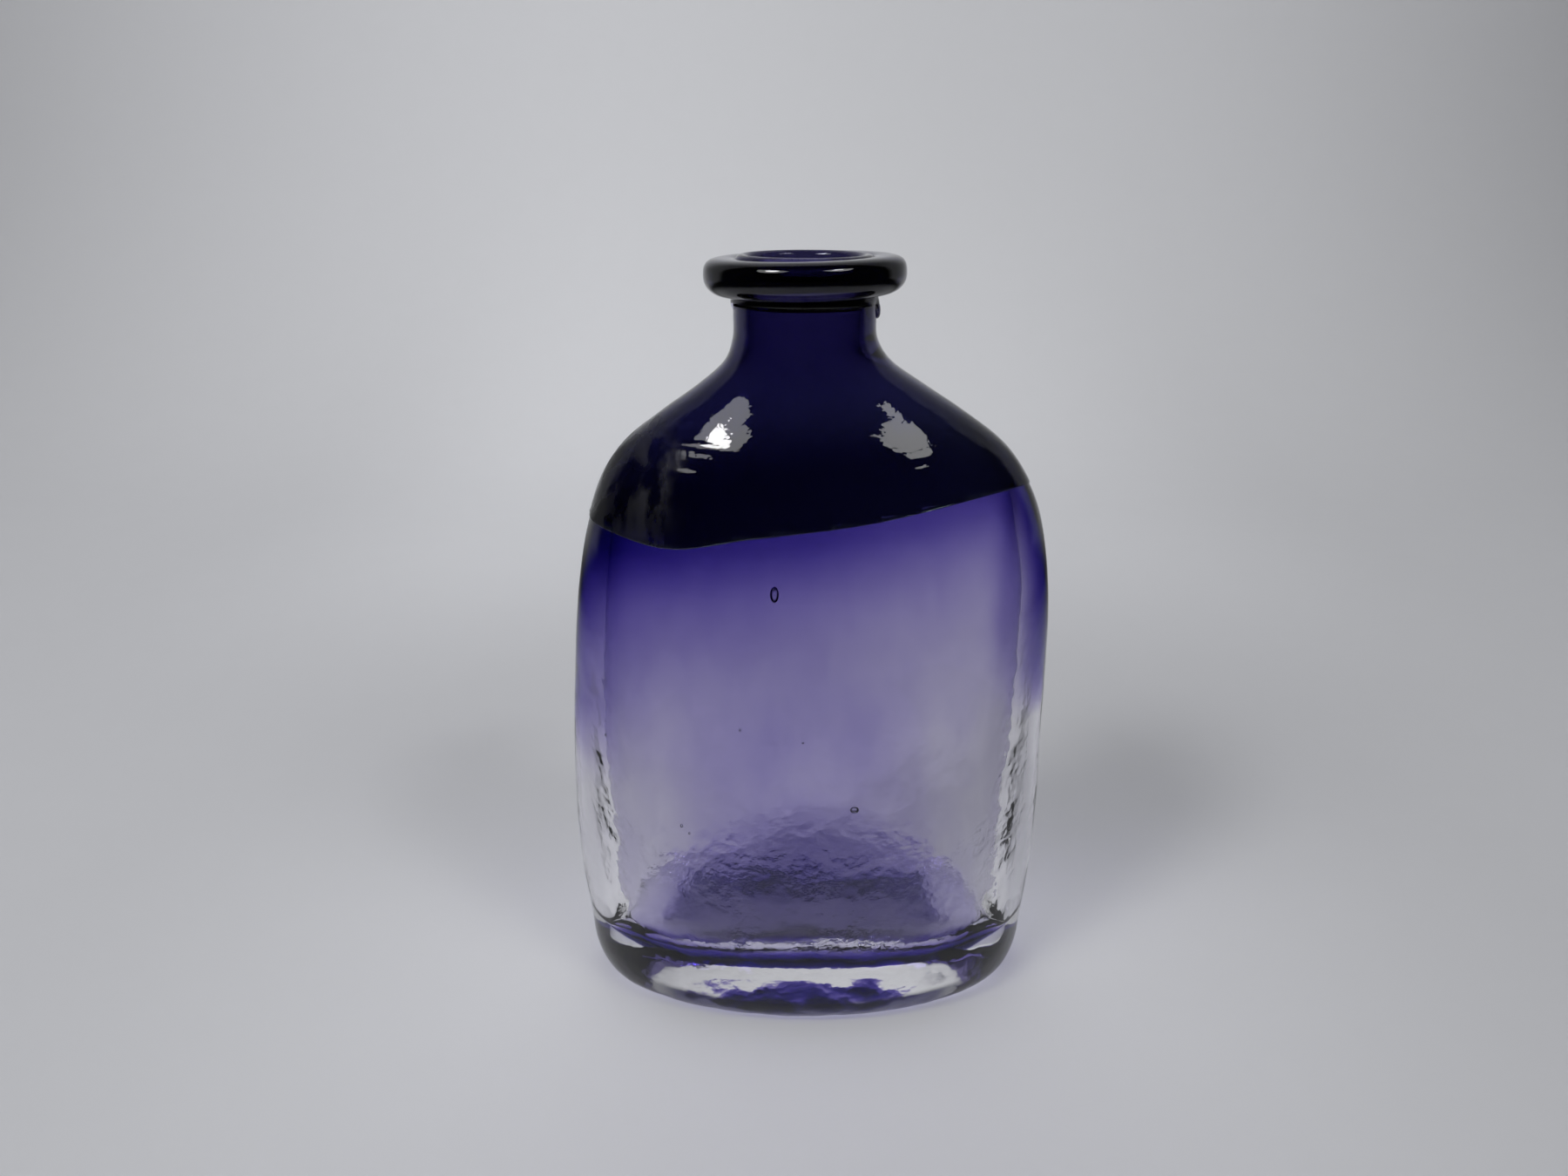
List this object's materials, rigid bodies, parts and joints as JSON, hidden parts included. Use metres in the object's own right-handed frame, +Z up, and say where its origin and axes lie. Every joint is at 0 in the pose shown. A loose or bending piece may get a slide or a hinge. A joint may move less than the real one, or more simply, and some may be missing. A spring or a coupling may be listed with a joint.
{
  "type": "glass bottle",
  "caption": "Hand-blown oval glass bottle with a round neck, thick lip ring and heavy clear base; violet glass that darkens to blue-black over the shoulders.",
  "frame": {"origin": "on the table, under the middle of the oval body", "axes": "+Z up along the bottle, +X to the right across its width, and the front face looks along -Y"},
  "size_m": [0.1032, 0.056, 0.16],
  "materials": {
    "violet_glass": "clear violet glass, strong at the neck and fading to nearly colourless at the floor",
    "clear_glass": "colourless glossy glass with a few seed bubbles and hand-made ripples",
    "blue_black_glass": "glossy violet glass, so deep that it looks blue-black"
  },
  "bodies": {
    "root": {"violet_lining": "violet_glass", "clear_casing": "clear_glass", "shoulder_overlay": "blue_black_glass", "neck_band": "blue_black_glass", "lip_ring": "blue_black_glass"}
  },
  "joints": []
}
